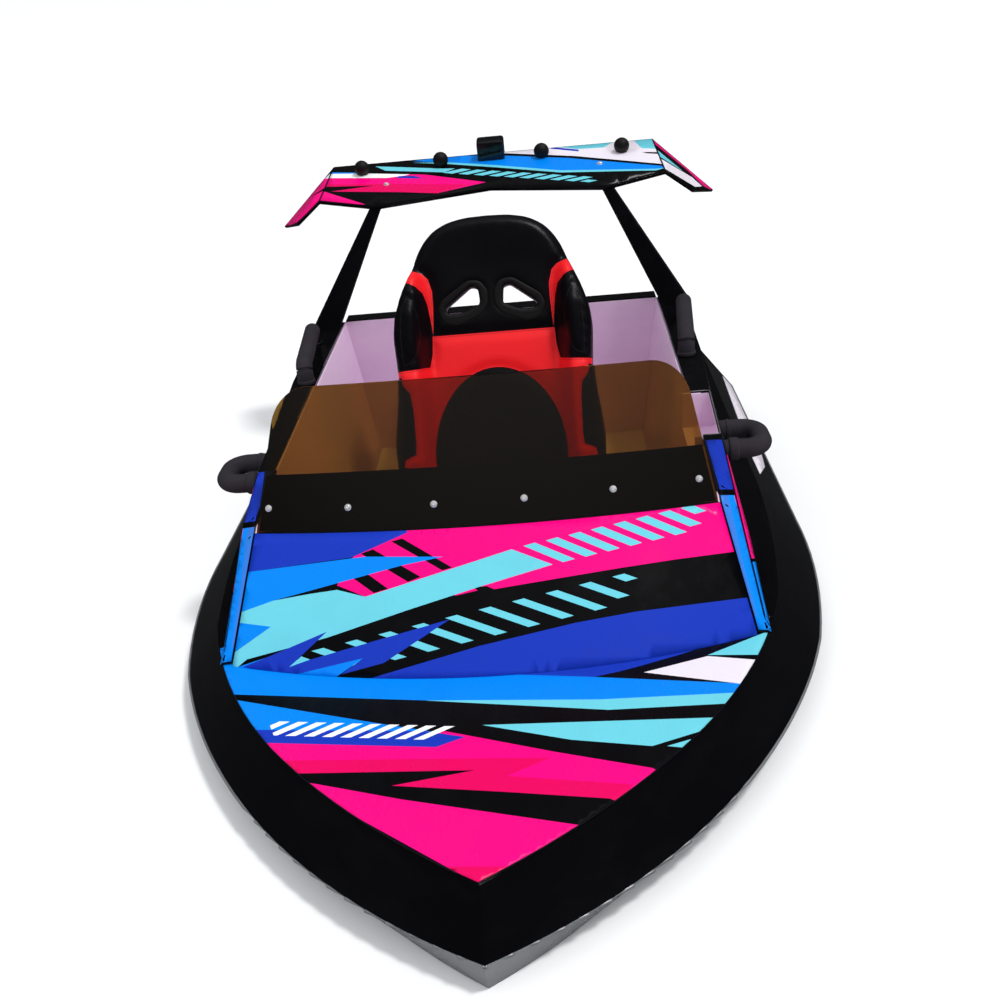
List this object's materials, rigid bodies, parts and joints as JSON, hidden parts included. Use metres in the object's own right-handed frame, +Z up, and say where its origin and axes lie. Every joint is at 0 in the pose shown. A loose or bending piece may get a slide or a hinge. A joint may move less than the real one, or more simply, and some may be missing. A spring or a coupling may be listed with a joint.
{
  "type": "water kart",
  "caption": "Single-seat jet-driven water kart with a plate hull, smoked windscreen, bucket seat, side grips and a raised rear wing.",
  "frame": {"origin": "on the centreline at the waterline, amidships", "axes": "bow towards -Y, port towards +X, +Z up from the water"},
  "size_m": [1.4982, 2.629, 1.0509],
  "materials": {
    "bare_aluminium": "brushed plate, satin to mirror",
    "black_gloss": "gloss black film over plate",
    "livery_panel": "gloss printed film in pink, blues, cyan and black",
    "lilac_lining": "satin lilac paint",
    "smoked_screen": "smoked brown acrylic",
    "seat_leather": "grained leatherette, black with red panels",
    "seat_shell": "moulded shell",
    "steel": "stainless, brushed",
    "grip_foam": "closed-cell foam sleeve",
    "black_plastic": "moulded, fine texture",
    "engine_metal": "cast, painted grey"
  },
  "bodies": {
    "hull": {"cheek_port": "livery_panel", "cheek_starboard": "livery_panel", "coaming_port": "black_gloss", "coaming_starboard": "black_gloss", "cockpit_floor": "bare_aluminium", "cowl": "livery_panel", "dash": "black_plastic", "engine": "engine_metal", "engine_bearers": "bare_aluminium", "engine_box": "lilac_lining", "footwell_bulkhead": "black_gloss", "fore_grip_port": "grip_foam", "fore_grip_starboard": "grip_foam", "foredeck": "livery_panel", "hull_bottom": "bare_aluminium", "intake_grate": "steel", "intake_tunnel": "bare_aluminium", "lining_port": "lilac_lining", "lining_starboard": "lilac_lining", "pump_housing": "bare_aluminium", "rear_cap": "black_gloss", "rear_deck": "black_gloss", "rear_grip_port": "grip_foam", "rear_grip_starboard": "grip_foam", "rear_wall": "lilac_lining", "recess_ledge": "lilac_lining", "screen_flange": "black_gloss", "seat_back": "seat_leather", "seat_bolster_port": "seat_leather", "seat_bolster_starboard": "seat_leather", "seat_cushion": "seat_leather", "seat_pan": "seat_shell", "seat_rails": "steel", "side_deck_port": "black_gloss", "side_deck_starboard": "black_gloss", "stern_lamp": "black_plastic", "strut_port": "black_gloss", "strut_starboard": "black_gloss", "throttle_pedal": "steel", "topside_port": "black_gloss", "topside_starboard": "black_gloss", "tow_eyes": "bare_aluminium", "transom": "bare_aluminium", "windscreen": "smoked_screen", "wing": "livery_panel", "wing_knobs": "black_plastic", "winglet_port": "livery_panel", "winglet_starboard": "livery_panel"},
    "steering": {"steering_wheel": "black_plastic", "steering_shaft": "steel"},
    "nozzle": {"steering_nozzle": "bare_aluminium"},
    "impeller": {"impeller": "steel", "drive_shaft": "steel"},
    "lid": {"engine_lid": "lilac_lining"}
  },
  "joints": [
    {"name": "steering_turn", "type": "hinge", "parent": "hull", "child": "steering", "pos_m": [0, -0.19, 0.3], "axis": [0, 0.9063, 0.4226], "range_deg": [-120, 120]},
    {"name": "nozzle_swing", "type": "hinge", "parent": "hull", "child": "nozzle", "pos_m": [0, 1.251, -0.07], "axis": [0, 0, 1], "range_deg": [-20, 20]},
    {"name": "impeller_spin", "type": "hinge", "parent": "hull", "child": "impeller", "pos_m": [0, 1.143, -0.07], "axis": [0, 1, 0], "continuous": true},
    {"name": "lid_hinge", "type": "hinge", "parent": "hull", "child": "lid", "pos_m": [0, 0.9, 0.408], "axis": [-1, 0, 0], "range_deg": [0, 75]}
  ],
  "couplings": [
    {"joint": "nozzle_swing", "follows": "steering_turn", "ratio": -0.16667}
  ]
}
